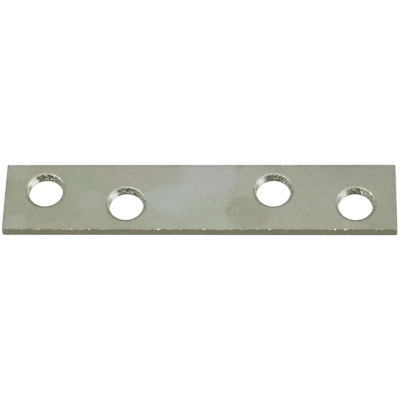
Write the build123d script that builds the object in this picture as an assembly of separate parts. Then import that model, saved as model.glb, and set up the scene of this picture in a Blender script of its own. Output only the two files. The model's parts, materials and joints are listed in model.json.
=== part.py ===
from build123d import *
from math import radians, tan
import os

# Mending plate: a short strip of mild steel with four countersunk screw holes
# in a zigzag row. The holes are pierced and struck from the face, and the blank
# is then cropped through a die, so each cut wall keeps the marks of its tool.
# It lies on its back face. +X runs along the plate, +Y across it and +Z out of
# the countersunk face. The origin is the middle of the back face.
# All sizes are in millimetres and degrees.

# Blank
length = 63.5
width = 12.7
thickness = 1.59
corner_radius = 0.25

# Cropped edge, from the back face up: the arris that the die drew down, the
# upright burnished band, the fracture that leans in, and the knocked-down burr
die_roll = 0.10
shear_band = 0.55
fracture_angle = 2.0
burr_radius = 0.04

# Screw hole, from the face down: the rolled rim, the struck cone, the straight
# land that the screw's shank passes, and the break-out that opens to the back
countersink_diameter = 6.46
countersink_angle = 76.0
rim_roll = 0.40
bore_diameter = 5.56
breakout_diameter = 5.72
breakout_height = 0.12

# Hole layout, the same from either end: two holes to each timber, set over to
# opposite sides of the centre line so that their screws miss one grain line
end_distance = 6.61
pair_pitch = 13.24
row_spacing = 2.62


def cropped_blank():
    """The strip as it leaves the die, with its four sheared walls."""
    outline = RectangleRounded(length, width, corner_radius)
    band = extrude(outline, amount=shear_band)
    fracture = extrude(
        Pos(0, 0, shear_band) * outline,
        amount=thickness - shear_band,
        taper=fracture_angle,
    )
    blank = band + fracture
    back = blank.faces().sort_by(Axis.Z)[0]
    blank = fillet(back.edges(), die_roll)
    face = blank.faces().sort_by(Axis.Z)[-1]
    return fillet(face.edges(), burr_radius)


def pierced_space():
    """The bore that the piercing punch leaves, with its wider break-out."""
    bore_radius = bore_diameter / 2
    profile = Polyline(
        (0, -thickness),
        (breakout_diameter / 2, -thickness),
        (breakout_diameter / 2, 0),
        (bore_radius, breakout_height),
        (bore_radius, 2 * thickness),
        (0, 2 * thickness),
        close=True,
    )
    return revolve(Plane.XZ * make_face(profile), Axis.Z)


def struck_space():
    """The cone that the countersink punch leaves, up to its sharp rim."""
    rim_radius = countersink_diameter / 2
    cone_height = rim_radius / tan(radians(countersink_angle / 2))
    point = thickness - cone_height
    profile = Polyline(
        (0, point),
        (rim_radius, thickness),
        (rim_radius, 2 * thickness),
        (0, 2 * thickness),
        close=True,
    )
    return revolve(Plane.XZ * make_face(profile), Axis.Z)


def hole_centres():
    """Two holes near one end, then the same two turned about the middle."""
    outer = Vector(end_distance - length / 2, row_spacing / 2)
    inner = Vector(outer.X + pair_pitch, -row_spacing / 2)
    return [outer, inner, -inner, -outer]


def mending_plate():
    """The blank with its holes pierced, struck and rolled at the rim."""
    plate = cropped_blank()
    for centre in hole_centres():
        plate -= Pos(centre) * pierced_space()
        plate -= Pos(centre) * struck_space()
    face = plate.faces().sort_by(Axis.Z)[-1]
    return fillet(face.inner_wires().edges(), rim_roll)


plate = mending_plate()
plate.label = "mending_plate"
os.makedirs("parts", exist_ok=True)
export_step(plate, "parts/mending_plate.step")
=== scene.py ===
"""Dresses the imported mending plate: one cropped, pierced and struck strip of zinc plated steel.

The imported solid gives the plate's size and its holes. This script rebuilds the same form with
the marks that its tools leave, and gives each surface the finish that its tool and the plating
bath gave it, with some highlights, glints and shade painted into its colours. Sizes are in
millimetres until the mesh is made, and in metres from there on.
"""

import json
import logging
import math
import random
from collections.abc import Callable
from dataclasses import dataclass, field
from enum import Enum
from functools import partial
from typing import Any

import bpy
from bpy.types import ID, Material, Node, NodeSocket, NodeTree, Object, World
from mathutils import Matrix, Vector, noise
from mathutils.geometry import delaunay_2d_cdt


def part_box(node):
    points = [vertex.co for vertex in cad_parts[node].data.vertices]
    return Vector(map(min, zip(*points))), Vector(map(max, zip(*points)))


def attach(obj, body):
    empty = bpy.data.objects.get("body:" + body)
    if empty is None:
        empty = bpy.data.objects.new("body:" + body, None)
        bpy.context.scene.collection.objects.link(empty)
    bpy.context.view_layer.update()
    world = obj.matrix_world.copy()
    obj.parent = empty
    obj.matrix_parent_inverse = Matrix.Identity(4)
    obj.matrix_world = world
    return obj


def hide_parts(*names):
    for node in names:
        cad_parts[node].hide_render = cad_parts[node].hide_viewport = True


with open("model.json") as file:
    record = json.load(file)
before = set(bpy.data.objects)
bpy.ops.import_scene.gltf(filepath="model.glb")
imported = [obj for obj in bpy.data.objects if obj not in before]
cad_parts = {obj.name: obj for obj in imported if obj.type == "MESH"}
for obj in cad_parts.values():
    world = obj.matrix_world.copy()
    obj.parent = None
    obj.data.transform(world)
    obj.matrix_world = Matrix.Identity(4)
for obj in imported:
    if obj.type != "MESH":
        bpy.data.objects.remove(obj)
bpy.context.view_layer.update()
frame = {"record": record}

LOG = logging.getLogger("mending_plate")
MM = 0.001
NODE = "mending_plate"
# The attribute that carries bare flecks together with painted highlights, glints and shade
WEAR_AND_PAINTED_LIGHT = "wear_and_painted_light"
# Places nearer to each other than this count as one
NEAR = 0.01
# Width of flat face that a wall takes with it
FLAT_RIM = 0.06
# Share of a mark's height above which the painted speckle makes it bright, as painted glints, and
# below which it makes it dark, as painted shade in its hollows
RIDGE_FLOOR = 0.02
# Share of a mark's height that a burnishing punch presses flat
PRESSED_FLAT = 0.9
# Points nearer to each other than this become one when a face is filled
WELD = 1e-7


class Zone(Enum):
    """The plate's surfaces by how each was made, numbered as its material slots."""

    FACE = 0
    BACK = 1
    BAND = 2
    FRACTURE = 3
    ARRIS = 4
    CONE = 5
    BORE = 6


class Side(Enum):
    """Which side of a wall's path the open air is on."""

    OUTSIDE = 1
    INSIDE = -1


# --- Surfaces that the tools cut ---


@dataclass(frozen=True)
class Relief:
    """Unevenness that a tool leaves, as noise cells of a real size, in millimetres.

    Args:
        depth: Height of the marks above and below the true surface.
        level: Width of a mark measured parallel to the plate's face.
        upright: Height of a mark measured across the plate's thickness.
    """

    depth: float
    level: float = 1.0
    upright: float = 1.0

    def height(self, point: Vector) -> float:
        """Returns how far the surface stands proud at a point in millimetres."""
        cell = Vector((point.x / self.level, point.y / self.level, point.z / self.upright))
        return self.depth * noise.noise(cell)


SMOOTH = Relief(0.0)
# Upright scores from the shear blade and the piercing punch, drawn wide enough to show
SHEAR_SCORES = Relief(0.003, level=0.14, upright=2.0)
PUNCH_SCORES = Relief(0.016, level=0.17, upright=0.40)
# Torn metal, with grains as coarse as the crack was
TORN_EDGE = Relief(0.010, level=0.22, upright=0.16)
TORN_BREAKOUT = Relief(0.014, level=0.25, upright=0.20)
# The arris was tumbled, which leaves it lumpy
TUMBLED = Relief(0.014, level=0.30, upright=0.30)
# The strike squeezed the cone into an orange peel, drawn coarser than the real one so that it shows
ORANGE_PEEL = Relief(0.040, level=0.17, upright=0.24)


@dataclass(frozen=True)
class SectionPoint:
    """A point of a wall's section, and the surface from it up to the next one."""

    out: float
    up: float
    zone: Zone
    relief: Relief = SMOOTH


@dataclass(frozen=True)
class Station:
    """A place on a wall's path, with the level direction that leads out of it."""

    x: float
    y: float
    out_x: float
    out_y: float


def straight(start: tuple[float, float], end: tuple[float, float], zone: Zone, relief: Relief,
             steps: int) -> list[SectionPoint]:
    """Returns the points that divide a straight stretch of a section, all but its end."""
    run, rise = end[0] - start[0], end[1] - start[1]
    return [SectionPoint(start[0] + run * step / steps, start[1] + rise * step / steps, zone, relief)
            for step in range(steps)]


def arc(centre: tuple[float, float], radius: float, start_deg: float, end_deg: float, zone: Zone,
        relief: Relief, steps: int) -> list[SectionPoint]:
    """Returns the same for an arc, whose directions count from out towards up."""
    angles = [math.radians(start_deg + (end_deg - start_deg) * step / steps) for step in range(steps)]
    return [SectionPoint(centre[0] + radius * math.cos(angle), centre[1] + radius * math.sin(angle),
                         zone, relief) for angle in angles]


def add_object(name: str, data: ID) -> Object:
    """Adds an object that shows this data to the scene, and returns it."""
    added = bpy.data.objects.new(name, data)
    bpy.context.scene.collection.objects.link(added)
    return added


@dataclass
class PlateMesh:
    """Points and faces of the plate as its walls and faces add them, in millimetres.

    Args:
        size: Length, width and thickness that no point goes beyond.
    """

    size: Vector
    points: list[Vector] = field(default_factory=list)
    wear_and_painted_light: list[float] = field(default_factory=list)
    faces: list[tuple[int, ...]] = field(default_factory=list)
    zones: list[Zone] = field(default_factory=list)

    def add_point(self, point: Vector, wear_and_painted_light: float = 0.0) -> int:
        """Adds a point, kept within the plate's size, and returns its number."""
        half_x, half_y = self.size.x / 2, self.size.y / 2
        self.points.append(Vector((min(max(point.x, -half_x), half_x),
                                   min(max(point.y, -half_y), half_y),
                                   min(max(point.z, 0.0), self.size.z))))
        self.wear_and_painted_light.append(wear_and_painted_light)
        return len(self.points) - 1

    def add_face(self, corners: tuple[int, ...], zone: Zone) -> None:
        """Adds a face with its zone."""
        self.faces.append(corners)
        self.zones.append(zone)

    def to_object(self, name: str, sharp_deg: float) -> Object:
        """Makes the Blender object in metres.

        Args:
            name: Name of the piece.
            sharp_deg: Edges that turn by more than this stay crisp.

        Returns:
            The object, linked to the scene, whose faces carry their zones' numbers as material
            indices.
        """
        mesh = bpy.data.meshes.new(name)
        mesh.from_pydata([point * MM for point in self.points], [], self.faces)
        mesh.polygons.foreach_set("material_index", [zone.value for zone in self.zones])
        attribute = mesh.attributes.new(WEAR_AND_PAINTED_LIGHT, "FLOAT", "POINT")
        attribute.data.foreach_set("value", self.wear_and_painted_light)
        mesh.shade_smooth()
        mesh.set_sharp_from_angle(angle=math.radians(sharp_deg))
        mesh.validate()
        return add_object(name, mesh)


@dataclass
class CutWall:
    """A wall swept from a section along a closed path.

    Args:
        path: Stations round the path, counter-clockwise from above.
        section: The section's points from the back face to the front.
        side: Which side of the path is open air.
        wear_and_painted_light: Gives a point's value: above 0 bare metal, painted highlights and
            painted glints brighten it, and below 0 painted shade and darker bands darken it.
        flatness: Gives how far the relief at a point is pressed flat, up to 1.
    """

    path: list[Station]
    section: list[SectionPoint]
    side: Side
    wear_and_painted_light: Callable[[Vector], float]
    flatness: Callable[[Vector], float] = lambda point: 0.0

    def build(self, mesh: PlateMesh) -> tuple[list[int], list[int]]:
        """Adds the wall to the mesh.

        Args:
            mesh: The mesh to add to.

        Returns:
            The loops of point numbers where the wall meets the back face and the front face.
        """
        normals = self.normals()
        rows = [[self.add_point(mesh, station, point, normal) for station in self.path]
                for point, normal in zip(self.section, normals)]
        count = len(self.path)
        for point, lower, upper in zip(self.section, rows, rows[1:]):
            for here in range(count):
                there = (here + 1) % count
                corners = (lower[here], lower[there], upper[there], upper[here])
                mesh.add_face(corners if self.side is Side.OUTSIDE else corners[::-1], point.zone)
        return rows[0], rows[-1]

    def normals(self) -> list[tuple[float, float]]:
        """Returns the direction into open air at each point of the section, as (out, up)."""
        found = []
        last = len(self.section) - 1
        for number in range(last + 1):
            before = self.section[max(number - 1, 0)]
            after = self.section[min(number + 1, last)]
            run = Vector((after.out - before.out, after.up - before.up)).normalized()
            found.append((run.y * self.side.value, -run.x * self.side.value))
        return found

    def add_point(self, mesh: PlateMesh, station: Station, point: SectionPoint,
                  normal: tuple[float, float]) -> int:
        """Adds one point of the wall, moved by its relief, and returns its number."""
        true = Vector((station.x + station.out_x * point.out, station.y + station.out_y * point.out,
                       point.up))
        proud = point.relief.height(true) * (1.0 - self.flatness(true))
        out, up = proud * normal[0], proud * normal[1]
        moved = true + Vector((station.out_x * out, station.out_y * out, up))
        return mesh.add_point(moved, self.wear_and_painted_light(true))


# --- The plate ---


def patchiness(point: Vector, size: float, mean: float, layer: float) -> float:
    """Returns how strong a patchy mark is at a point; each layer has other patches."""
    return mean + noise.noise(Vector((point.x / size, point.y / size, layer)))


@dataclass(frozen=True)
class Band:
    """A stripe along an edge, strongest in its middle and gone at its sides: painted shade, a painted
    highlight or a darker band.

    Args:
        middle: Where its middle is, as the measure that its owner names.
        half_width: Half of its width.
        strength: How strong it is in its middle.
    """

    middle: float
    half_width: float
    strength: float = 1.0

    def at(self, place: float) -> float:
        """Returns how strong the band is at a place across it."""
        return self.strength * max(1.0 - abs(place - self.middle) / self.half_width, 0.0)


@dataclass(frozen=True)
class BurrFleck:
    """A scrap of burr that the tumbling flattened and left bare, half as wide as it is long; its
    near-white colour is also a painted glint.

    Args:
        x: Its middle along the plate.
        y: Its middle across the plate.
        half_length: Half of its length.
        brightness: How bright its middle is, as bare metal and painted glint; above 1, more of it is
            fully bright.
    """

    x: float
    y: float
    half_length: float
    brightness: float

    def wear_and_painted_light(self, point: Vector) -> float:
        """Returns how bright the fleck leaves a point, from 0 to its brightness."""
        away = math.hypot(point.x - self.x, 2 * (point.y - self.y)) / self.half_length
        return self.brightness * min(max(FLECK_STEEPNESS * (1.0 - away), 0.0), 1.0)


@dataclass(frozen=True)
class FleckKind:
    """A kind of fleck, as the ranges that its brightness and half of its length lie in."""

    brightness: tuple[float, float]
    half_length: tuple[float, float]


# Glints are bright flecks, bare metal painted near white as glints of light; beads are faint ones
GLINT = FleckKind(brightness=(0.8, 1.4), half_length=(0.16, 0.26))
BEAD = FleckKind(brightness=(0.1, 0.45), half_length=(0.08, 0.18))
# How far in from the burnished band both lie, how far from the plate's ends they keep, how far
# below the face they reach, and how fast they brighten towards their middle
FLECK_INSET = (0.03, 0.12)
FLECK_MARGIN = 0.8
FLECK_DEPTH = 0.12
FLECK_STEEPNESS = 1.7
# The largest scraps on the front arris, bare and painted near white as glints: where each lies along
# the plate, and its brightness
FRONT_SCRAPS = (
    (-25.8, 0.35), (-20.4, 0.70), (-18.8, 0.40), (-17.6, 0.85), (-6.5, 1.80), (0.85, 0.85),
    (3.0, 0.50), (9.35, 0.50), (11.4, 0.85), (21.8, 2.00), (23.45, 1.15), (28.45, 0.40),
)
SCRAP_INSET = 0.08
SCRAP_HALF_LENGTH = 0.22


@dataclass
class CroppedEdge:
    """The wall that the cropping die left round the blank, from the back face up.

    Args:
        half_length: Half of the plate's length.
        half_width: Half of its width.
        thickness: Its thickness.
        corner_radius: Radius of the four corners seen from above.
        die_roll: Radius of the arris that the die drew down.
        shear_band: Height at which the upright burnished band ends.
        fracture_angle: Lean of the fracture above it, in degrees.
        burr_radius: Radius of the knocked-down burr.
        land: Width of flat face that the wall takes with it, for the soil along its edge.
        pitch: Distance between the wall's columns.
        scraps: The largest scraps of burr on the front arris, painted bright as glints, each as (x,
            brightness).
        glints: Number of smaller ones left bare and painted bright as glints, along the front and the
            rear arris.
        beads: Number of faint ones, along the front and the rear arris.
        seed: Seed of their places.
        painted_foot_shade: Painted contact shadow at the foot of the wall, by height.
        painted_arris_shade: Painted shade under the burr, by depth below the face.
        front_darkening: A darker band along the front of the face, by distance from the edge.
        rear_darkening: The same along its rear.
        left_darkening: The same along its left end.
        right_darkening: The same along its right end.
    """

    half_length: float
    half_width: float
    thickness: float
    corner_radius: float = 0.25
    die_roll: float = 0.10
    shear_band: float = 0.55
    fracture_angle: float = 2.0
    burr_radius: float = 0.04
    land: float = 0.16
    pitch: float = 0.10
    scraps: tuple[tuple[float, float], ...] = FRONT_SCRAPS
    glints: tuple[int, int] = (0, 4)
    beads: tuple[int, int] = (110, 60)
    seed: int = 7
    # Painted contact shadow at the wall's foot, painted shade under the arris, and darker bands along
    # the face's edges
    painted_foot_shade: Band = Band(0.0, 0.45, 1.8)
    painted_arris_shade: Band = Band(0.12, 0.10, 0.9)
    front_darkening: Band = Band(0.12, 0.10, 0.9)
    rear_darkening: Band = Band(0.26, 0.18, 0.2)
    left_darkening: Band = Band(0.15, 0.10, 0.9)
    right_darkening: Band = Band(0.15, 0.10, 0.5)

    def path(self) -> list[Station]:
        """Returns the stations of the rounded rectangle."""
        stations = []
        steps = 8
        corners = [(1, 1), (-1, 1), (-1, -1), (1, -1)]
        spans = [2 * self.half_width, 2 * self.half_length] * 2
        for turn, (sign_x, sign_y) in enumerate(corners):
            centre_x = sign_x * (self.half_length - self.corner_radius)
            centre_y = sign_y * (self.half_width - self.corner_radius)
            for step in range(steps + 1):
                angle = math.radians(90 * (turn + step / steps))
                out_x, out_y = math.cos(angle), math.sin(angle)
                stations.append(Station(centre_x + self.corner_radius * out_x,
                                        centre_y + self.corner_radius * out_y, out_x, out_y))
            run = spans[(turn + 1) % 4] - 2 * self.corner_radius
            columns = round(run / self.pitch)
            last = stations[-1]
            for column in range(1, columns):
                gone = run * column / columns
                stations.append(Station(last.x - last.out_y * gone, last.y + last.out_x * gone,
                                        last.out_x, last.out_y))
        return stations

    def section(self) -> list[SectionPoint]:
        """Returns the section of the wall, with out measured from the burnished band."""
        lean = math.radians(self.fracture_angle)
        top = -(self.thickness - self.shear_band) * math.tan(lean)
        reach = self.burr_radius * math.tan((math.pi / 2 - lean) / 2)
        wall_end = (top + reach * math.sin(lean), self.thickness - reach * math.cos(lean))
        arris_centre = (top - reach, self.thickness - self.burr_radius)
        roll = self.die_roll
        face_edge = (top - reach, self.thickness)
        land_end = (top - reach - self.land, self.thickness)
        return [
            SectionPoint(-roll - FLAT_RIM, 0, Zone.BACK),
            *arc((-roll, roll), roll, -90, 0, Zone.BAND, SHEAR_SCORES, steps=5),
            *straight((0, roll), (0, self.shear_band), Zone.BAND, SHEAR_SCORES, steps=5),
            *straight((0, self.shear_band), wall_end, Zone.FRACTURE, TORN_EDGE, steps=9),
            *arc(arris_centre, self.burr_radius, self.fracture_angle, 90, Zone.ARRIS, TUMBLED,
                 steps=4),
            *straight(face_edge, land_end, Zone.FACE, SMOOTH, steps=3),
            SectionPoint(*land_end, Zone.FACE),
        ]

    def flecks(self) -> list[BurrFleck]:
        """Returns the flecks along both long arrises: the scraps, and then many small ones."""
        draw = random.Random(self.seed)
        reach = self.half_length - FLECK_MARGIN
        found = [BurrFleck(place, SCRAP_INSET - self.half_width, SCRAP_HALF_LENGTH, brightness)
                 for place, brightness in self.scraps]
        for side, glints, beads in zip((-1, 1), self.glints, self.beads):
            for kind in [GLINT] * glints + [BEAD] * beads:
                place = draw.uniform(-reach, reach)
                inset = draw.uniform(*FLECK_INSET)
                brightness = draw.uniform(*kind.brightness)
                half_length = draw.uniform(*kind.half_length)
                across = side * (self.half_width - inset)
                found.append(BurrFleck(place, across, half_length, brightness))
        return found

    def darkening(self, point: Vector) -> float:
        """Returns how far a point of the wall, or of the land above it, is darkened: painted shade on
        the wall, a darker band on the land.
        """
        patches = patchiness(point, size=1.2, mean=0.8, layer=7.0)
        # On the wall: painted contact shadow at the foot and painted shade under the arris; on the
        # land: darker bands
        if point.z < self.thickness - NEAR:
            foot = min(self.painted_foot_shade.at(point.z), 1.0)
            return min(foot + self.painted_arris_shade.at(self.thickness - point.z) * patches, 1.0)
        end_darkening = self.right_darkening if point.x > 0 else self.left_darkening
        bands = (self.front_darkening.at(self.half_width + point.y)
                 + self.rear_darkening.at(self.half_width - point.y)
                 + end_darkening.at(self.half_length - abs(point.x)))
        return min(bands * patches, 1.0)

    def build(self, mesh: PlateMesh) -> tuple[list[int], list[int]]:
        """Adds the wall to the mesh and returns its loops on the back and front faces."""
        flecks = self.flecks()
        line = self.thickness - FLECK_DEPTH

        def wear_and_painted_light(point: Vector) -> float:
            """Returns the wall's value at a point: bright flecks near the arris, bare and painted as
            glints, and darkening elsewhere.
            """
            brightened = max(fleck.wear_and_painted_light(point) for fleck in flecks) if point.z > line else 0.0
            return brightened if brightened > 0 else -self.darkening(point)

        return CutWall(self.path(), self.section(), Side.OUTSIDE, wear_and_painted_light).build(mesh)


@dataclass(frozen=True)
class Sector:
    """A part of a hole's round where a mark is strongest in its middle: painted highlights, glints
    and shade, and the pressing that flattens the relief.

    Args:
        azimuth: Where its middle is round the hole, in degrees from +X.
        half_angle: Half of the angle that it spans, in degrees.
        strength: How strong the mark is in its middle.
        steepness: How fast it reaches that from its sides; 1 is in its very middle.
        all_round: How strong it is all round the hole, which the sector adds to.
    """

    azimuth: float
    half_angle: float
    strength: float
    steepness: float = 1.0
    all_round: float = 0.0

    def at(self, azimuth: float) -> float:
        """Returns how strong the mark is in a direction from the hole's axis."""
        away = abs((azimuth - self.azimuth + 180) % 360 - 180) / self.half_angle
        share = 0.5 + 0.5 * math.cos(math.pi * min(away, 1.0))
        return self.all_round + self.strength * min(self.steepness * share, 1.0)


@dataclass
class ScrewHole:
    """A pierced hole with its struck countersink, from the back face up.

    Args:
        x: Place of its axis along the plate.
        y: Place of its axis across the plate.
        bore_radius: Radius of the straight land.
        thickness: The plate's thickness.
        countersink_radius: Radius of the cone where it would meet the face.
        countersink_angle: The cone's full angle, in degrees.
        rim_roll: Radius of the rolled rim.
        breakout_radius: Radius of the break-out at the back face.
        breakout_height: Its height.
        pressed_patch_and_highlight: Where the wall's relief is pressed flat, and where the land is
            painted bright as a highlight.
        painted_land_highlight: Where the land is painted a little bright, as a fainter highlight.
        painted_side_highlights: Where the sides of hole and cone are painted bright, as highlights.
        painted_speckle: Where ridges are painted bright as glints and hollows painted dark as shade.
        painted_rim_highlight: Where the shoulder between cone and rim is painted bright, as the rim's
            highlight.
        painted_rim_shade: Where the rim's outer half gets the most painted shade.
        painted_lip_shade: Where the whole rim and the shoulder below it get painted shade.
        painted_foot_shade: Where the foot of the wall gets painted shade.
        shoulder_band: How far the painted rim highlight reaches, by radius.
        rim_band: The same for the painted shade of the rim.
        lip_band: The same for the painted shade of the lip.
        foot_band: How far the painted shade of the foot reaches, by height.
        columns: Columns round the hole.
    """

    x: float
    y: float
    bore_radius: float
    thickness: float
    countersink_radius: float = 3.23
    countersink_angle: float = 76.0
    rim_roll: float = 0.40
    breakout_radius: float = 2.86
    breakout_height: float = 0.12
    # Sectors that paint highlights, glints and shade round each hole; the first also presses the
    # relief flat
    pressed_patch_and_highlight: Sector = Sector(137.0, 32.0, 0.92, 1.35)
    painted_land_highlight: Sector = Sector(36.0, 38.0, 0.28)
    painted_side_highlights: tuple[Sector, ...] = (Sector(184.0, 32.0, 0.68), Sector(-6.0, 30.0, 0.20))
    painted_speckle: Sector = Sector(70.0, 85.0, 2.10)
    painted_rim_highlight: Sector = Sector(42.0, 55.0, 1.20, all_round=0.20)
    painted_rim_shade: Sector = Sector(95.0, 80.0, 0.30, all_round=0.08)
    painted_lip_shade: Sector = Sector(273.0, 70.0, 0.92)
    painted_foot_shade: Sector = Sector(88.0, 70.0, 1.10)
    shoulder_band: Band = Band(3.14, 0.10, 1.5)
    rim_band: Band = Band(3.36, 0.10)
    lip_band: Band = Band(3.26, 0.18)
    foot_band: Band = Band(0.0, 0.65)
    columns: int = 288

    def path(self) -> list[Station]:
        """Returns the stations, all on the hole's axis and facing round it."""
        angles = [math.tau * column / self.columns for column in range(self.columns)]
        return [Station(self.x, self.y, math.cos(angle), math.sin(angle)) for angle in angles]

    def section(self) -> list[SectionPoint]:
        """Returns the section of the hole, with out measured from its axis."""
        half_angle = math.radians(self.countersink_angle / 2)
        slope = math.pi / 2 - half_angle
        cone_height = (self.countersink_radius - self.bore_radius) / math.tan(half_angle)
        reach = self.rim_roll * math.tan(slope / 2)
        cone_end = (self.countersink_radius - reach * math.sin(half_angle),
                    self.thickness - reach * math.cos(half_angle))
        rim = self.countersink_radius + reach
        land_foot = (self.bore_radius, self.breakout_height)
        land_top = (self.bore_radius, self.thickness - cone_height)
        return [
            SectionPoint(self.breakout_radius + FLAT_RIM, 0, Zone.BACK),
            *straight((self.breakout_radius, 0), land_foot, Zone.BORE, TORN_BREAKOUT, steps=3),
            *straight(land_foot, land_top, Zone.BORE, PUNCH_SCORES, steps=11),
            *straight(land_top, cone_end, Zone.CONE, ORANGE_PEEL, steps=13),
            *arc((rim, self.thickness - self.rim_roll), self.rim_roll, 90 + math.degrees(slope), 90,
                 Zone.FACE, TUMBLED, steps=8),
            SectionPoint(rim, self.thickness, Zone.FACE),
            SectionPoint(rim + FLAT_RIM, self.thickness, Zone.FACE),
        ]

    def build(self, mesh: PlateMesh) -> tuple[list[int], list[int]]:
        """Adds the hole to the mesh and returns its loops on the back and front faces."""
        return CutWall(self.path(), self.section(), Side.INSIDE, self.wear_and_painted_light, self.flatness).build(mesh)

    def azimuth(self, point: Vector) -> float:
        """Returns the direction of a point from the hole's axis, in degrees from +X."""
        return math.degrees(math.atan2(point.y - self.y, point.x - self.x))

    def flatness(self, point: Vector) -> float:
        """Returns how far the relief is pressed flat at a point of the wall."""
        return PRESSED_FLAT * self.pressed_patch_and_highlight.at(self.azimuth(point))

    def wear_and_painted_light(self, point: Vector) -> float:
        """Returns the painted highlights and glints, above 0, and the painted shade, below 0, at a
        point of the hole's wall.
        """
        azimuth = self.azimuth(point)
        radius = math.hypot(point.x - self.x, point.y - self.y)
        # Painted shade on the rim and shoulder, strongest on the near lip
        lip = self.painted_lip_shade.at(azimuth) * self.lip_band.at(radius)
        # The shoulder carries the painted rim highlight, in patches
        shoulder = self.shoulder_band.at(radius)
        if shoulder > 0:
            patches = patchiness(point, size=0.5, mean=0.5, layer=6.0)
            return self.painted_rim_highlight.at(azimuth) * min(shoulder, 1.0) * patches - lip
        # The rim's outer half carries painted shade
        if radius > self.shoulder_band.middle:
            return -self.painted_rim_shade.at(azimuth) * self.rim_band.at(radius) - lip
        on_cone = radius > self.bore_radius + NEAR
        marks = ORANGE_PEEL if on_cone else PUNCH_SCORES
        # Painted highlights on the sides and the land, painted glints and shade on ridges and
        # hollows, and painted shade at the foot
        brightened = max(side_highlight.at(azimuth) for side_highlight in self.painted_side_highlights)
        if not on_cone:
            brightened = max(brightened, self.pressed_patch_and_highlight.at(azimuth), self.painted_land_highlight.at(azimuth))
        ridge = marks.height(point) / marks.depth - RIDGE_FLOOR
        foot = self.painted_foot_shade.at(azimuth) * self.foot_band.at(point.z)
        return brightened + self.painted_speckle.at(azimuth) * ridge - foot


@dataclass
class FlatFace:
    """A flat face, filled between the plate's outline and its holes with even triangles.

    Args:
        zone: Which face it is.
        up: Its height.
        size: The plate's length, width and thickness.
        pitch: Distance between its inner points.
        margin: Room that they leave to the loops.
    """

    zone: Zone
    up: float
    size: Vector
    pitch: float = 0.9
    margin: float = 0.6

    def inner_points(self, holes: list[ScrewHole]) -> list[Vector]:
        """Returns the points of a triangular grid that stand clear of the edge and the holes."""
        rise = self.pitch * math.sqrt(3) / 2
        rows = int((self.size.y / 2 - self.margin) / rise)
        columns = int((self.size.x / 2 - self.margin) / self.pitch)
        grid = [Vector(((column + row % 2 / 2) * self.pitch, row * rise))
                for row in range(-rows, rows + 1) for column in range(-columns, columns)]
        return [point for point in grid
                if all(math.hypot(point.x - hole.x, point.y - hole.y)
                       > hole.countersink_radius + self.margin for hole in holes)]

    def build(self, mesh: PlateMesh, outline: list[int], rims: tuple[list[int], ...],
              holes: list[ScrewHole]) -> None:
        """Adds the face to the mesh.

        Args:
            mesh: The mesh to add to.
            outline: The outer wall's loop on this face.
            rims: The holes' loops on this face.
            holes: The holes, in the order of their loops.
        """
        numbers: list[int] = []
        edges: list[tuple[int, int]] = []
        owners: list[int] = []
        for owner, loop in enumerate((outline, *rims)):
            first = len(numbers)
            numbers += loop
            owners += [owner] * len(loop)
            edges += [(first + step, first + (step + 1) % len(loop)) for step in range(len(loop))]
        inner = [mesh.add_point(Vector((point.x, point.y, self.up)))
                 for point in self.inner_points(holes)]
        numbers += inner
        owners += [0] * len(inner)
        flat = [mesh.points[number].to_2d() for number in numbers]
        _, _, triangles, origins, _, _ = delaunay_2d_cdt(flat, edges, [], 0, WELD)
        for triangle in triangles:
            sources = [origins[corner][0] for corner in triangle]
            # A triangle whose corners are all on one hole's loop would close that hole
            ring = {owners[source] for source in sources}
            if len(ring) == 1 and ring != {0}:
                continue
            corners = tuple(numbers[source] for source in sources)
            mesh.add_face(corners if self.zone is Zone.FACE else corners[::-1], self.zone)


# --- Finishes ---


def linear(colour: str) -> tuple[float, float, float, float]:
    """Turns an sRGB hex colour, such as "#a1a394", to linear red, green, blue and alpha."""
    shares = [int(colour[place:place + 2], 16) / 255 for place in (1, 3, 5)]
    red, green, blue = (share / 12.92 if share <= 0.04045 else ((share + 0.055) / 1.055) ** 2.4
                        for share in shares)
    return red, green, blue, 1.0


def per_metre(size_mm: float) -> float:
    """Returns the texture scale that gives features of this size."""
    return 1 / (size_mm * MM)


def add_node(tree: NodeTree, kind: str, inputs: dict[str | int, Any] | None = None,
             **settings: Any) -> Node:
    """Adds one node to a tree.

    Args:
        tree: The tree.
        kind: The node's type, such as "ShaderNodeBump".
        inputs: For each input, by name or number, its value or the output socket that feeds it.
        **settings: The node's own properties.

    Returns:
        The node.
    """
    node = tree.nodes.new(kind)
    for name, value in settings.items():
        setattr(node, name, value)
    for name, value in (inputs or {}).items():
        if isinstance(value, NodeSocket):
            tree.links.new(value, node.inputs[name])
        else:
            node.inputs[name].default_value = value
    return node


def emptied_tree(owner: Material | World) -> NodeTree:
    """Returns the node tree of a material or a world, with no node left in it."""
    owner.use_nodes = True
    owner.node_tree.nodes.clear()
    return owner.node_tree


def swing(tree: NodeTree, place: NodeSocket, size_mm: float, detail: float,
          turn: float = 0.0) -> NodeSocket:
    """Returns noise, which keeps near its middle, spread over -1 to 1; each turn has its own."""
    cells = add_node(tree, "ShaderNodeTexNoise",
                     {"Vector": place, "Scale": per_metre(size_mm), "Detail": detail, "W": turn},
                     noise_dimensions="4D")
    return add_node(tree, "ShaderNodeMapRange",
                    {"Value": cells.outputs[0], "From Min": 0.3, "From Max": 0.7,
                     "To Min": -1.0}).outputs[0]


def shade(tree: NodeTree, colour: NodeSocket, source: NodeSocket, share: float) -> NodeSocket:
    """Returns the colour, lighter by a share where the source is 1 and darker where it is -1."""
    level = add_node(tree, "ShaderNodeMath", {0: source, 1: share, 2: 1.0}, operation="MULTIPLY_ADD")
    return add_node(tree, "ShaderNodeMix", {0: 1.0, 6: colour, 7: level.outputs[0]},
                    data_type="RGBA", blend_type="MULTIPLY").outputs[2]


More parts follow.
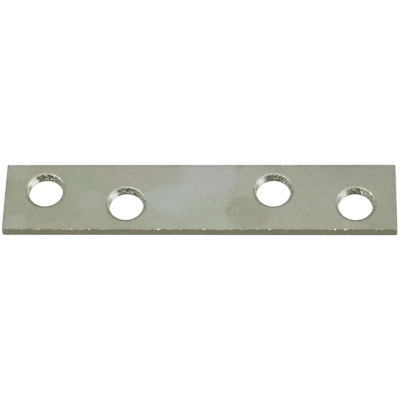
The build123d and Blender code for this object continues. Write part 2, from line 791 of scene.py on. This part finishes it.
@dataclass(frozen=True)
class TintPatch:
    """A patch of the face in another colour, in millimetres: mostly marks where the passivation dried
    differently, and some painted sheen and painted shade.

    Args:
        x: Its middle along the plate.
        y: Its middle across the plate.
        half_x: Half of its length.
        half_y: Half of its width.
        colour: What it turns the face to at its middle.
        share: How much of that colour it takes.
        edge: Share of its radius over which it fades.
    """

    x: float
    y: float
    half_x: float
    half_y: float
    colour: str
    share: float
    edge: float = 0.40


@dataclass(frozen=True)
class Specks:
    """Sparse specks of one kind, all over the face.

    Args:
        size_mm: Size of the noise cells that they stand in.
        turn: Picks a noise of their own.
        start: Level of that noise above which they show.
        full: Level above which they show in full.
        share: How much they lighten or darken the film.
    """

    size_mm: float
    turn: float
    start: float
    full: float
    share: float


@dataclass(frozen=True)
class PlatedZinc:
    """Electroplated zinc with a thin passivation, on a surface that one tool made.

    The zinc is a metal, so it has no colour under its gloss: what the eye gets is a soft grey
    reflection, tinted by the passivation film and broken up by the surface's own grain.

    Args:
        name: The material's name.
        colour: The commonest colour.
        warm: Colour of the patches where the film looks pinkish brown.
        cool: Colour of the patches where the film looks green.
        cloud_mm: Size of the lighter and darker clouds.
        cloud_share: How much a cloud lightens or darkens the colour.
        grain_share: How much a crystal lightens or darkens the colour.
        roughness: Mean roughness.
        tint_mm: Size of the warm and cool patches.
        grain_mm: Size of the plating's crystals, drawn coarse enough to show.
        roughness_swing: How far patches depart from the mean roughness.
        bump_mm: Size of the fine unevenness.
        bump_height_mm: Its height.
        streak: Stretch of the grain along X, Y and Z.
        edge_tint: What is left of the gloss where the surface is seen edge-on.
        darkened_colour: What the darkening leaves of the colour, where painted shade and darker bands
            fall.
        brightened_colour: Colour where the film is gone and where highlights and glints are painted.
        brightened_roughness: Roughness there.
    """

    name: str
    colour: str
    warm: str
    cool: str
    cloud_mm: float
    cloud_share: float
    grain_share: float
    roughness: float
    tint_mm: float = 2.0
    grain_mm: float = 0.20
    roughness_swing: float = 0.05
    bump_mm: float = 0.12
    bump_height_mm: float = 0.001
    streak: tuple[float, float, float] = (1.0, 1.0, 1.0)
    edge_tint: str = "#ffffff"
    darkened_colour: str = "#9c9a90"
    brightened_colour: str = "#f4f4ee"
    brightened_roughness: float = 0.25

    def build(self) -> Material:
        """Makes the material."""
        material = bpy.data.materials.new(self.name)
        tree = emptied_tree(material)
        add = partial(add_node, tree)
        place = add("ShaderNodeTexCoord").outputs["Object"]
        clouds = swing(tree, place, self.cloud_mm, detail=3.0)
        colour = shade(tree, self.film(tree, place), clouds, self.cloud_share)
        stretched = add("ShaderNodeMapping",
                        {"Vector": place, "Scale": tuple(1 / stretch for stretch in self.streak)})
        crystals = swing(tree, stretched.outputs[0], self.grain_mm, detail=2.0)
        colour = shade(tree, colour, crystals, self.grain_share)
        # Above 0 the attribute brightens the colour, for bare metal and painted highlights and
        # glints; below 0 it darkens it, for painted shade and darker bands
        wear_and_painted_light = add("ShaderNodeAttribute", attribute_name=WEAR_AND_PAINTED_LIGHT).outputs["Fac"]
        darkened = add("ShaderNodeMapRange", {"Value": wear_and_painted_light, "From Min": 0.0, "From Max": -1.0})
        darkening = linear(self.darkened_colour)
        colour = add("ShaderNodeMix", {0: darkened.outputs[0], 6: colour, 7: darkening},
                     data_type="RGBA", blend_type="MULTIPLY").outputs[2]
        brightened = add("ShaderNodeMapRange", {"Value": wear_and_painted_light}).outputs[0]
        colour = add("ShaderNodeMix", {0: brightened, 6: colour, 7: linear(self.brightened_colour)},
                     data_type="RGBA").outputs[2]
        dull = add("ShaderNodeMath", {0: clouds, 1: self.roughness_swing, 2: self.roughness},
                   operation="MULTIPLY_ADD").outputs[0]
        roughness = add("ShaderNodeMix", {0: brightened, 2: dull, 3: self.brightened_roughness})
        pits = add("ShaderNodeTexNoise",
                   {"Vector": place, "Scale": per_metre(self.bump_mm), "Detail": 4.0},
                   noise_dimensions="4D")
        bump = add("ShaderNodeBump", {"Height": pits.outputs[0], "Strength": 1.0,
                                      "Distance": self.bump_height_mm * MM})
        shader = add("ShaderNodeBsdfPrincipled",
                     {"Base Color": colour, "Metallic": 1.0, "Roughness": roughness.outputs[0],
                      "Specular Tint": linear(self.edge_tint), "Normal": bump.outputs["Normal"]})
        add("ShaderNodeOutputMaterial", {"Surface": shader.outputs["BSDF"]})
        return material

    def film(self, tree: NodeTree, place: NodeSocket) -> NodeSocket:
        """Returns the colour of the passivation film, with its warm and cool patches."""
        colour: Any = linear(self.colour)
        for tint, turn in ((self.warm, 1.7), (self.cool, 5.3)):
            patches = swing(tree, place, self.tint_mm, detail=2.0, turn=turn)
            colour = add_node(tree, "ShaderNodeMix", {0: patches, 6: colour, 7: linear(tint)},
                              data_type="RGBA").outputs[2]
        return colour


@dataclass(frozen=True)
class StainedAndSheenedZinc(PlatedZinc):
    """Plated zinc on the rolled strip's face, with the marks that the rinse left as it dried, and
    patches of painted sheen and shade.

    Args:
        tint_patches: The patches, marks of the rinse and painted sheen and shade, each laid over the
            ones before it.
        specks: The kinds of specks over them.
        wander_mm: How far a stain's edge strays from its ellipse.
        wave_mm: Size of the waves in which it strays.
    """

    tint_patches: tuple[TintPatch, ...] = ()
    specks: tuple[Specks, ...] = ()
    wander_mm: float = 1.4
    wave_mm: float = 3.2

    def film(self, tree: NodeTree, place: NodeSocket) -> NodeSocket:
        """Returns the film's colour with the patches, painted sheen and shade among them, and the
        specks over it.
        """
        add = partial(add_node, tree)
        waves = add("ShaderNodeTexNoise",
                    {"Vector": place, "Scale": per_metre(self.wave_mm), "Detail": 3.0})
        centred = add("ShaderNodeVectorMath", {0: waves.outputs["Color"], 1: (0.5, 0.5, 0.5)},
                      operation="SUBTRACT")
        reach = add("ShaderNodeVectorMath",
                    {0: centred.outputs[0], "Scale": 2 * self.wander_mm * MM}, operation="SCALE")
        strayed = add("ShaderNodeVectorMath", {0: place, 1: reach.outputs[0]})
        colour = super().film(tree, place)
        for tint_patch in self.tint_patches:
            colour = self.lay(tree, strayed.outputs[0], tint_patch, colour)
        for specks in self.specks:
            colour = self.scatter(tree, place, specks, colour)
        return colour

    def scatter(self, tree: NodeTree, place: NodeSocket, specks: Specks,
                colour: NodeSocket) -> NodeSocket:
        """Returns the colour with one kind of specks over it."""
        add = partial(add_node, tree)
        cells = add("ShaderNodeTexNoise", {"Vector": place, "Scale": per_metre(specks.size_mm),
                                           "Detail": 1.0, "W": specks.turn}, noise_dimensions="4D")
        shown = add("ShaderNodeMapRange", {"Value": cells.outputs[0], "From Min": specks.start,
                                           "From Max": specks.full})
        return shade(tree, colour, shown.outputs[0], specks.share)

    def lay(self, tree: NodeTree, place: NodeSocket, tint_patch: TintPatch, colour: NodeSocket) -> NodeSocket:
        """Returns the colour with one tinted patch laid over it."""
        add = partial(add_node, tree)
        offset = add("ShaderNodeVectorMath", {0: place, 1: (tint_patch.x * MM, tint_patch.y * MM, 0)},
                     operation="SUBTRACT")
        spread = (per_metre(tint_patch.half_x), per_metre(tint_patch.half_y), 0)
        scaled = add("ShaderNodeVectorMath", {0: offset.outputs[0], 1: spread}, operation="MULTIPLY")
        away = add("ShaderNodeVectorMath", {0: scaled.outputs[0]}, operation="LENGTH")
        share = add("ShaderNodeMapRange",
                    {"Value": away.outputs["Value"], "From Min": 1 - tint_patch.edge,
                     "From Max": 1 + tint_patch.edge, "To Min": tint_patch.share, "To Max": 0.0},
                    interpolation_type="SMOOTHSTEP")
        return add("ShaderNodeMix", {0: share.outputs[0], 6: colour, 7: linear(tint_patch.colour)},
                   data_type="RGBA").outputs[2]


# The broad light patches in the middle are painted sheen, the reflection of the overhead lamp, and
# the darker ones towards the ends are painted shade where that reflection fades. The small stains are
# greenish or pinkish.
FACE_STAINS_AND_SHEEN = (
    # Broad light patches over the middle and right of it: painted sheen
    TintPatch(0.5, 0.0, 12.5, 9.0, "#a1a698", 1.00, 0.35),
    TintPatch(17.5, 0.0, 6.5, 7.5, "#a0a293", 0.90, 0.35),
    # Darker patches towards both ends: painted shade
    TintPatch(-30.0, 0.0, 2.4, 3.6, "#999c88", 0.80),
    TintPatch(29.3, -4.0, 3.6, 2.6, "#949585", 0.85),
    TintPatch(-25.0, -3.7, 6.2, 3.0, "#959b85", 0.85, 0.50),
    TintPatch(32.5, 0.0, 3.8, 9.0, "#9a9b8c", 0.90),
    TintPatch(26.5, 4.6, 6.5, 3.0, "#9b9b8d", 0.85),
    # Small greenish and pinkish stains
    TintPatch(-26.0, 5.4, 3.6, 1.3, "#a59c8d", 0.52),
    TintPatch(-11.5, 4.8, 6.0, 2.2, "#a7a296", 0.70),
    TintPatch(-21.5, -5.6, 5.0, 1.0, "#a59c8a", 0.48),
    TintPatch(17.5, -5.7, 5.5, 1.0, "#a59d90", 0.50),
    TintPatch(-12.3, -4.9, 3.4, 1.7, "#999b88", 0.70),
    TintPatch(17.0, -4.1, 1.8, 1.5, "#9b9f8d", 0.80),
    TintPatch(-19.8, 3.0, 2.5, 2.2, "#98a190", 0.40),
    TintPatch(-30.6, 5.2, 2.0, 1.6, "#a3a596", 0.80),
    TintPatch(-29.8, -5.0, 2.2, 1.5, "#a2a494", 0.80),
    TintPatch(-17.3, -0.5, 2.0, 2.0, "#a0a598", 0.85, 0.25),
    # Lighter patches in the middle: painted sheen
    TintPatch(-3.4, -0.5, 5.0, 2.9, "#aaafa7", 0.95, 0.25),
    TintPatch(1.4, 3.4, 4.2, 4.6, "#abada8", 0.95, 0.20),
    TintPatch(1.6, -3.2, 3.8, 3.8, "#a3a899", 0.90, 0.25),
    # An olive stain and a brownish one
    TintPatch(7.8, -3.0, 3.1, 3.3, "#969b87", 0.95, 0.18),
    TintPatch(9.5, -3.9, 1.9, 2.0, "#9c9789", 0.65),
)

# Pale and dark specks, drawn coarse enough to show, and the rare bright nicks that tumbling left,
# painted bright as glints
FACE_SPECKS = (
    Specks(0.32, 9.1, 0.60, 0.72, 0.14),
    Specks(0.32, 4.4, 0.60, 0.72, -0.14),
    Specks(0.55, 2.6, 0.75, 0.78, 0.70),
)

FINISHES: dict[Zone, PlatedZinc] = {
    # Cold rolled strip: satin, with faint streaks across the width and cloudy film colours
    Zone.FACE: StainedAndSheenedZinc(
        "rolled_zinc_face", colour="#9ea190", warm="#a29c8c", cool="#999f8e", tint_mm=3.0,
        cloud_mm=2.5, cloud_share=0.03, grain_mm=0.16, grain_share=0.08, roughness=0.40,
        roughness_swing=0.03, bump_mm=0.20, streak=(1.0, 6.0, 1.0), tint_patches=FACE_STAINS_AND_SHEEN,
        specks=FACE_SPECKS),
    # The back lay on the rack's hooks in the bath, and is a little duller
    Zone.BACK: PlatedZinc(
        "rolled_zinc_back", colour="#a1a294", warm="#a59d8e", cool="#9aa390", tint_mm=6.0,
        cloud_mm=4.0, cloud_share=0.06, grain_mm=0.16, grain_share=0.04, roughness=0.44,
        roughness_swing=0.04, bump_mm=0.20, streak=(1.0, 6.0, 1.0)),
    # The blade burnished this band upright, which gives it fine upright scores
    Zone.BAND: PlatedZinc(
        "burnished_zinc_band", colour="#7c7963", warm="#827a62", cool="#757660", cloud_mm=0.8,
        cloud_share=0.12, grain_share=0.18, roughness=0.38, bump_height_mm=0.0015,
        streak=(1.0, 1.0, 6.0), darkened_colour="#8c8a80"),
    # Torn metal takes a thick brownish film
    Zone.FRACTURE: PlatedZinc(
        "torn_zinc_edge", colour="#7b7860", warm="#827960", cool="#73745d", cloud_mm=0.8,
        cloud_share=0.12, grain_share=0.22, roughness=0.50, roughness_swing=0.06,
        bump_height_mm=0.0025),
    # Tumbling knocked the burr down and left the arris a shade lighter
    Zone.ARRIS: PlatedZinc(
        "tumbled_zinc_arris", colour="#8c8b78", warm="#908977", cool="#868a77", cloud_mm=0.5,
        cloud_share=0.12, grain_mm=0.18, grain_share=0.12, roughness=0.36, bump_mm=0.14),
    # The punch pressed this cone bright, so it mirrors the lamps in coarse specks
    Zone.CONE: PlatedZinc(
        "struck_zinc_cone", colour="#b2b2a0", warm="#b5b09c", cool="#abb09a", tint_mm=1.6,
        cloud_mm=0.6, cloud_share=0.14, grain_share=0.22, roughness=0.17, bump_mm=0.16,
        bump_height_mm=0.003, edge_tint="#808078", brightened_roughness=0.40),
    # Little zinc reaches into a bore, and its film is brownish
    Zone.BORE: PlatedZinc(
        "pierced_zinc_bore", colour="#74715a", warm="#7a7054", cool="#6e7156", tint_mm=1.2,
        cloud_mm=0.5, cloud_share=0.18, grain_mm=0.24, grain_share=0.34, roughness=0.30,
        bump_height_mm=0.0015, streak=(1.0, 1.0, 6.0), edge_tint="#b4b4a8"),
}


@dataclass
class MendingPlate:
    """The whole plate.

    Args:
        size: Its length, width and thickness.
        holes: Its screw holes.
    """

    size: Vector
    holes: list[ScrewHole]

    @classmethod
    def from_frame(cls) -> "MendingPlate":
        """Reads the plate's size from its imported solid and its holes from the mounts."""
        low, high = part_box(NODE)
        size = (high - low) / MM
        bores = [mount for mount in frame["record"]["mounts"] if mount["kind"] == "bore"]
        holes = [ScrewHole(bore["pos_m"][0] / MM, bore["pos_m"][1] / MM, bore["dims"]["r_mm"], size.z)
                 for bore in bores]
        return cls(size, holes)

    def build(self) -> Object:
        """Builds the plate's mesh and returns its object."""
        mesh = PlateMesh(self.size)
        outlines = CroppedEdge(self.size.x / 2, self.size.y / 2, self.size.z).build(mesh)
        rims = zip(*(hole.build(mesh) for hole in self.holes))
        faces = FlatFace(Zone.BACK, 0.0, self.size), FlatFace(Zone.FACE, self.size.z, self.size)
        for face, outline, loops in zip(faces, outlines, rims):
            face.build(mesh, outline, loops, self.holes)
        return mesh.to_object("zinc_plated_plate", sharp_deg=35.0)

    def dress(self, piece: Object) -> None:
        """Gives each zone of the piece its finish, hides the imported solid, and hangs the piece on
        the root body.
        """
        for zone in Zone:
            piece.data.materials.append(FINISHES[zone].build())
        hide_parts(NODE)
        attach(piece, "root")


# --- Studio ---


def direction(azimuth_deg: float, elevation_deg: float) -> Vector:
    """Returns the way to a place round the plate: 0 is off its -Y side, and 90 off its +X end."""
    azimuth, elevation = math.radians(azimuth_deg), math.radians(elevation_deg)
    return Vector((math.sin(azimuth) * math.cos(elevation), -math.cos(azimuth) * math.cos(elevation),
                   math.sin(elevation)))


@dataclass(frozen=True)
class Softbox:
    """A rectangular lamp that faces the plate.

    Args:
        name: Its name.
        azimuth: Where it stands round the plate, in degrees.
        elevation: How high it stands, in degrees.
        distance: Distance from the plate, in metres.
        size: Width and height, in metres.
        radiance: Brightness of its face, where 1 shows as white.
        colour: Colour of its light.
    """

    name: str
    azimuth: float
    elevation: float
    distance: float
    size: tuple[float, float]
    radiance: float
    colour: str = "#ffffff"

    def build(self) -> None:
        """Adds the lamp to the scene."""
        lamp = bpy.data.lights.new(self.name, "AREA")
        lamp.shape = "RECTANGLE"
        lamp.size, lamp.size_y = self.size
        lamp.color = linear(self.colour)[:3]
        lamp.energy = self.radiance * math.pi * self.size[0] * self.size[1]
        holder = add_object(self.name, lamp)
        towards = direction(self.azimuth, self.elevation)
        holder.location = towards * self.distance
        holder.rotation_euler = towards.to_track_quat("Z", "Y").to_euler()


@dataclass(frozen=True)
class Studio:
    """Camera, lamps, floor and surroundings.

    Args:
        camera_azimuth: Where the camera stands round the plate, in degrees.
        camera_elevation: How high it looks from, in degrees.
        camera_distance: Distance from the point it looks at, in metres.
        camera_roll: Turn of the camera about its own axis, in degrees.
        aim: The point that it looks at, in metres.
        lens: Focal length for a sensor 36 mm wide.
        room: Grey level of the room beyond the lamps.
        room_front: Grey level low in front, where no lamp stands.
        softboxes: The lamps.
        floor_half: Half of the floor's side, in metres.
        floor_drop: How far the floor lies under the plate, in metres.
    """

    camera_azimuth: float = 4.76
    camera_elevation: float = 56.30
    camera_distance: float = 0.3446
    camera_roll: float = -3.95
    aim: tuple[float, float, float] = (-0.00003, 0.00044, 0.0)
    lens: float = 190.87
    room: float = 0.70
    room_front: float = 0.16
    softboxes: tuple[Softbox, ...] = (
        Softbox("overhead_softbox", 0.0, 79.0, 0.50, (0.70, 0.81), 1.03),
        Softbox("right_softbox", 76.0, 25.5, 0.50, (0.58, 0.45), 1.33, "#e8eeff"),
        Softbox("left_softbox", -68.0, 45.0, 0.50, (0.35, 0.22), 1.4, "#fff7e8"),
    )
    floor_half: float = 3.0
    floor_drop: float = 0.00002

    def build(self) -> None:
        """Adds the whole studio to the scene."""
        self.add_camera()
        for softbox in self.softboxes:
            softbox.build()
        self.add_floor()
        self.add_surround()
        bpy.context.scene.view_settings.view_transform = "Standard"

    def add_camera(self) -> None:
        """Adds the camera and makes it the scene's own."""
        data = bpy.data.cameras.new("studio_camera")
        data.lens = self.lens
        data.sensor_width = 36.0
        camera = add_object("studio_camera", data)
        back = direction(self.camera_azimuth, self.camera_elevation)
        turn = back.to_track_quat("Z", "Y").to_matrix().to_4x4()
        roll = Matrix.Rotation(math.radians(self.camera_roll), 4, "Z")
        place = Matrix.Translation(Vector(self.aim) + back * self.camera_distance)
        camera.matrix_world = place @ turn @ roll
        bpy.context.scene.camera = camera

    def add_floor(self) -> None:
        """Adds the pale floor, which shows white to the eye and in reflections."""
        half, drop = self.floor_half, -self.floor_drop
        mesh = bpy.data.meshes.new("studio_floor")
        corners = [(-half, -half, drop), (half, -half, drop), (half, half, drop), (-half, half, drop)]
        mesh.from_pydata(corners, [], [(0, 1, 2, 3)])
        mesh.materials.append(self.floor_material())
        add_object("studio_floor", mesh)

    def floor_material(self) -> Material:
        """Makes painted board that a faint glow lifts to white where it is seen."""
        material = bpy.data.materials.new("painted_board")
        add = partial(add_node, emptied_tree(material))
        path = add("ShaderNodeLightPath")
        seen: Any = 0.0
        for ray in ("Is Camera Ray", "Is Glossy Ray", "Is Transmission Ray"):
            seen = add("ShaderNodeMath", {0: seen, 1: path.outputs[ray]},
                       operation="MAXIMUM").outputs[0]
        board = add("ShaderNodeBsdfDiffuse", {"Color": linear("#dedede")})
        thin = add("ShaderNodeBsdfDiffuse", {"Color": linear("#989898")})
        glow = add("ShaderNodeEmission", {"Strength": 0.76})
        shown = add("ShaderNodeAddShader", {0: thin.outputs[0], 1: glow.outputs[0]})
        both = add("ShaderNodeMixShader", {0: seen, 1: board.outputs[0], 2: shown.outputs[0]})
        add("ShaderNodeOutputMaterial", {"Surface": both.outputs[0]})
        return material

    def add_surround(self) -> None:
        """Sets the room beyond the lamps, which is grey, and dark low in front."""
        world = bpy.data.worlds.new("studio_room")
        add = partial(add_node, emptied_tree(world))
        way = add("ShaderNodeTexCoord").outputs["Generated"]
        parts = add("ShaderNodeSeparateXYZ", {0: way})
        dark: Any = 1.0
        for axis, start, end in (("Y", -0.25, -0.65), ("Z", 0.62, 0.46)):
            share = add("ShaderNodeMapRange",
                        {"Value": parts.outputs[axis], "From Min": start, "From Max": end})
            dark = add("ShaderNodeMath", {0: dark, 1: share.outputs[0]},
                       operation="MULTIPLY").outputs[0]
        level = add("ShaderNodeMapRange",
                    {"Value": dark, "To Min": self.room, "To Max": self.room_front})
        backdrop = add("ShaderNodeBackground",
                       {"Color": linear("#ffffff"), "Strength": level.outputs[0]})
        add("ShaderNodeOutputWorld", {"Surface": backdrop.outputs[0]})
        bpy.context.scene.world = world


def main() -> None:
    """Builds and dresses the plate, then the studio round it."""
    logging.basicConfig(level=logging.INFO, format="%(name)s: %(message)s")
    plate = MendingPlate.from_frame()
    piece = plate.build()
    plate.dress(piece)
    LOG.info("%s: %d faces, %d screw holes", piece.name, len(piece.data.polygons), len(plate.holes))
    Studio().build()


if __name__ == "__main__":
    main()
